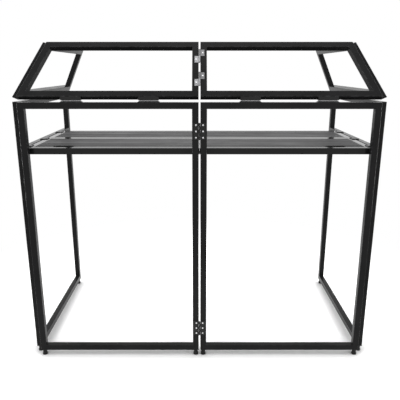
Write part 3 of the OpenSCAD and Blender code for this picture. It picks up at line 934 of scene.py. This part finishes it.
@dataclass
class SlotShadeLiners:
    """Near-black rubber liners that edge the shelf's two cable slots and cover their walls, as
    painted shade inside the slots.
    """

    length: float = 80 * MM
    width: float = 25 * MM
    inset: float = 140 * MM
    front_margin: float = 28 * MM
    flange: float = 3 * MM
    proud: float = 0.8 * MM
    wall: float = 1.4 * MM
    depth: float = 25 * MM
    # Points of the profile, as shares of the flange or the wall, and of the proud height.
    flange_shares: tuple[Span, ...] = ((1.0, 0.0), (0.9, 0.7), (0.55, 1.0), (0.0, 1.0))
    wall_shares: tuple[Span, ...] = ((0.8, 0.5), (1.0, -1.0))
    arc_steps: int = 20

    def profile(self) -> list[Span]:
        """Gives the liner's section.

        Returns:
            Its points: how far outside the slot's edge, and how far over the shelf's top.
        """
        over = [(self.flange * out, self.proud * up) for out, up in self.flange_shares]
        inside = [(-self.wall * out, self.proud * up) for out, up in self.wall_shares]
        return over + inside + [(-self.wall, -self.depth), (0.0, -self.depth), (0.0, 0.0)]

    def outline(self, grow: float) -> list[Span]:
        """Gives the slot's outline, moved outward.

        Args:
            grow: How far the outline is moved.

        Returns:
            The points round the slot's middle.
        """
        radius = self.width / 2 + grow
        straight = (self.length - self.width) / 2
        points = []
        for side, start in ((1, -math.pi / 2), (-1, math.pi / 2)):
            for step in range(self.arc_steps + 1):
                angle = start + math.pi * step / self.arc_steps
                points.append(
                    (side * straight + radius * math.cos(angle), radius * math.sin(angle))
                )
        return points

    def build(self, materials: Materials) -> None:
        """Builds the liner of each slot.

        Args:
            materials: The material of each finish.
        """
        for side in Side:
            low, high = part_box(f"shelf_channels_{side.value}")
            across = low.x + self.inset if side is Side.LEFT else high.x - self.inset
            along = low.y + self.front_margin + self.width / 2
            middle = Vector((across, along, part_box("shelf_channels_left")[1].z))
            place = Matrix.Translation(middle)
            shape = bmesh.new()
            loops = [
                add_loop(shape, place, self.outline(grow), up) for grow, up in self.profile()
            ]
            for first, second in zip(loops, loops[1:] + loops[:1]):
                bridge(shape, first, second)
            name = f"slot_shade_liner_{side.value}"
            new_piece(name, shape, materials[SHADE_LINER_RUBBER], "shelf", smooth=True)


@dataclass(frozen=True)
class Lamp:
    """A soft rectangular lamp that the camera doesn't see."""

    name: str
    place: Place
    width: float
    height: float
    power: float
    lights_matt: bool = True


@dataclass
class Studio:
    """A white floor and surround, soft lamps and the camera."""

    floor_size: float = 40.0
    # The floor's grey as a light on the booth, and its tone where it is seen or mirrored.
    floor_bounce: float = 0.8
    floor_white: float = 1.6
    # How near a piece darkens the floor, and the floor's tone right under it.
    contact_reach: float = 0.05
    contact_samples: int = 8
    contact_range: Span = (0.3, 1.0)
    contact_tone: float = 0.3
    # The distances from the middle between which the seen floor turns plain white.
    floor_fade: Span = (0.9, 1.6)
    surround: float = 0.7
    lamps: tuple[Lamp, ...] = (
        Lamp("key_lamp", (-2.6, -2.4, 3.4), 2.2, 2.2, 40.0),
        Lamp("fill_lamp", (2.8, -2.2, 2.8), 2.4, 2.4, 30.0),
        Lamp("top_lamp", (0.0, 0.4, 4.4), 3.0, 3.0, 70.0),
    )
    strip_place: Place = (3.0, 0.55, 0.75)
    strip_size: Span = (0.8, 2.8)
    strip_power: float = 140.0
    lamp_target: Place = (0.0, 0.0, 0.7)
    camera_place: Place = (0.0, -2.2005, 1.207)
    camera_tilt: float = 74.56
    camera_shift: Span = (0.0012, -0.0005)
    lens: float = 42.71
    sensor: float = 36.0

    def seen_rays(self, graph: Graph) -> bpy.types.NodeSocket:
        """Picks the rays that show the background from those that only light the booth.

        Args:
            graph: The graph of the floor's material or of the world.

        Returns:
            A socket that is 1 for camera, glossy and transmission rays.
        """
        path = graph.add("LightPath").outputs
        seen = graph.maths("MAXIMUM", path["Is Camera Ray"], path["Is Glossy Ray"])
        return graph.maths("MAXIMUM", seen, path["Is Transmission Ray"])

    def build_world(self) -> None:
        """Makes a surround that is white to the eye and softer as a light."""
        world = bpy.data.worlds.new("surround")
        bpy.context.scene.world = world
        world.use_nodes = True
        world.node_tree.nodes.clear()
        graph = Graph(world.node_tree)
        soft = graph.add("Background", Color=WHITE, Strength=self.surround)
        white = graph.add("Background", Color=WHITE, Strength=1.0)
        surface = graph.mix_shaders(self.seen_rays(graph), soft, white)
        graph.feed(graph.add("OutputWorld").inputs["Surface"], surface)

    def floor_material(self) -> bpy.types.Material:
        """Makes the floor's material, which keeps the booth's shadow and is white further out.

        Returns:
            The material.
        """
        material, graph = start_material("white_floor")
        seen = self.seen_rays(graph)
        tone = graph.blend(seen, (self.floor_bounce,) * 3, (self.floor_white,) * 3)
        close = graph.add(
            "AmbientOcclusion", samples=self.contact_samples, Distance=self.contact_reach
        )
        shade = graph.ramp(close.outputs["AO"], self.contact_range, (self.contact_tone, 1.0))
        matt = graph.add("BsdfDiffuse")
        graph.feed(matt.inputs["Color"], graph.blend(shade, BLACK, tone))
        away = graph.add("VectorMath", operation="LENGTH")
        graph.feed(away.inputs[0], graph.place())
        far = graph.ramp(away.outputs["Value"], self.floor_fade)
        glow = graph.add("Emission", Color=WHITE, Strength=1.0)
        surface = graph.mix_shaders(graph.maths("MULTIPLY", far, seen), matt, glow)
        graph.feed(graph.add("OutputMaterial").inputs["Surface"], surface)
        return material

    def build_floor(self) -> None:
        """Makes the floor that the booth stands on."""
        mesh = bpy.data.meshes.new("floor")
        shape = bmesh.new()
        bmesh.ops.create_grid(shape, x_segments=1, y_segments=1, size=self.floor_size / 2)
        shape.to_mesh(mesh)
        shape.free()
        mesh.materials.append(self.floor_material())
        floor = bpy.data.objects.new("floor", mesh)
        bpy.context.scene.collection.objects.link(floor)

    def strips(self) -> tuple[Lamp, ...]:
        """Places the tall strips that only glossy surfaces mirror.

        Returns:
            The strip beside each end of the booth.
        """
        out, along, up = self.strip_place
        return tuple(
            Lamp(
                f"strip_{side.value}", (side.sign * out, along, up), *self.strip_size,
                self.strip_power, lights_matt=False,
            )
            for side in Side
        )

    def build_lamps(self) -> None:
        """Makes the lamps, each turned to the booth's middle."""
        for lamp in self.lamps + self.strips():
            data = bpy.data.lights.new(lamp.name, "AREA")
            data.energy = lamp.power
            data.shape = "RECTANGLE"
            data.size, data.size_y = lamp.width, lamp.height
            thing = bpy.data.objects.new(lamp.name, data)
            thing.location = lamp.place
            aim = Vector(self.lamp_target) - Vector(lamp.place)
            thing.rotation_euler = aim.to_track_quat("-Z", "Y").to_euler()
            thing.visible_camera = False
            thing.visible_diffuse = lamp.lights_matt
            bpy.context.scene.collection.objects.link(thing)

    def build_camera(self) -> None:
        """Makes the camera that looks at the booth's front from a little above."""
        data = bpy.data.cameras.new("front_view")
        data.lens = self.lens
        data.sensor_width = self.sensor
        data.shift_x, data.shift_y = self.camera_shift
        camera = bpy.data.objects.new("front_view", data)
        camera.location = self.camera_place
        camera.rotation_euler = (math.radians(self.camera_tilt), 0.0, 0.0)
        bpy.context.scene.collection.objects.link(camera)
        bpy.context.scene.camera = camera

    def build(self) -> None:
        """Makes the whole studio."""
        bpy.context.scene.view_settings.view_transform = "Standard"
        self.build_world()
        self.build_floor()
        self.build_lamps()
        self.build_camera()
        LOG.info("studio is set")


def main() -> None:
    """Builds the finishes, dresses each sub-assembly and sets the studio."""
    logging.basicConfig(level=logging.INFO, format="%(message)s")
    Effects().build()
    materials = {finish: finish.build() for finish in FINISHES}
    FrameSet().build(materials)
    Fittings().build(materials)
    PanScrews().build(materials)
    Shelf().build(materials)
    SlotShadeLiners().build(materials)
    Studio().build()


if __name__ == "__main__":
    main()
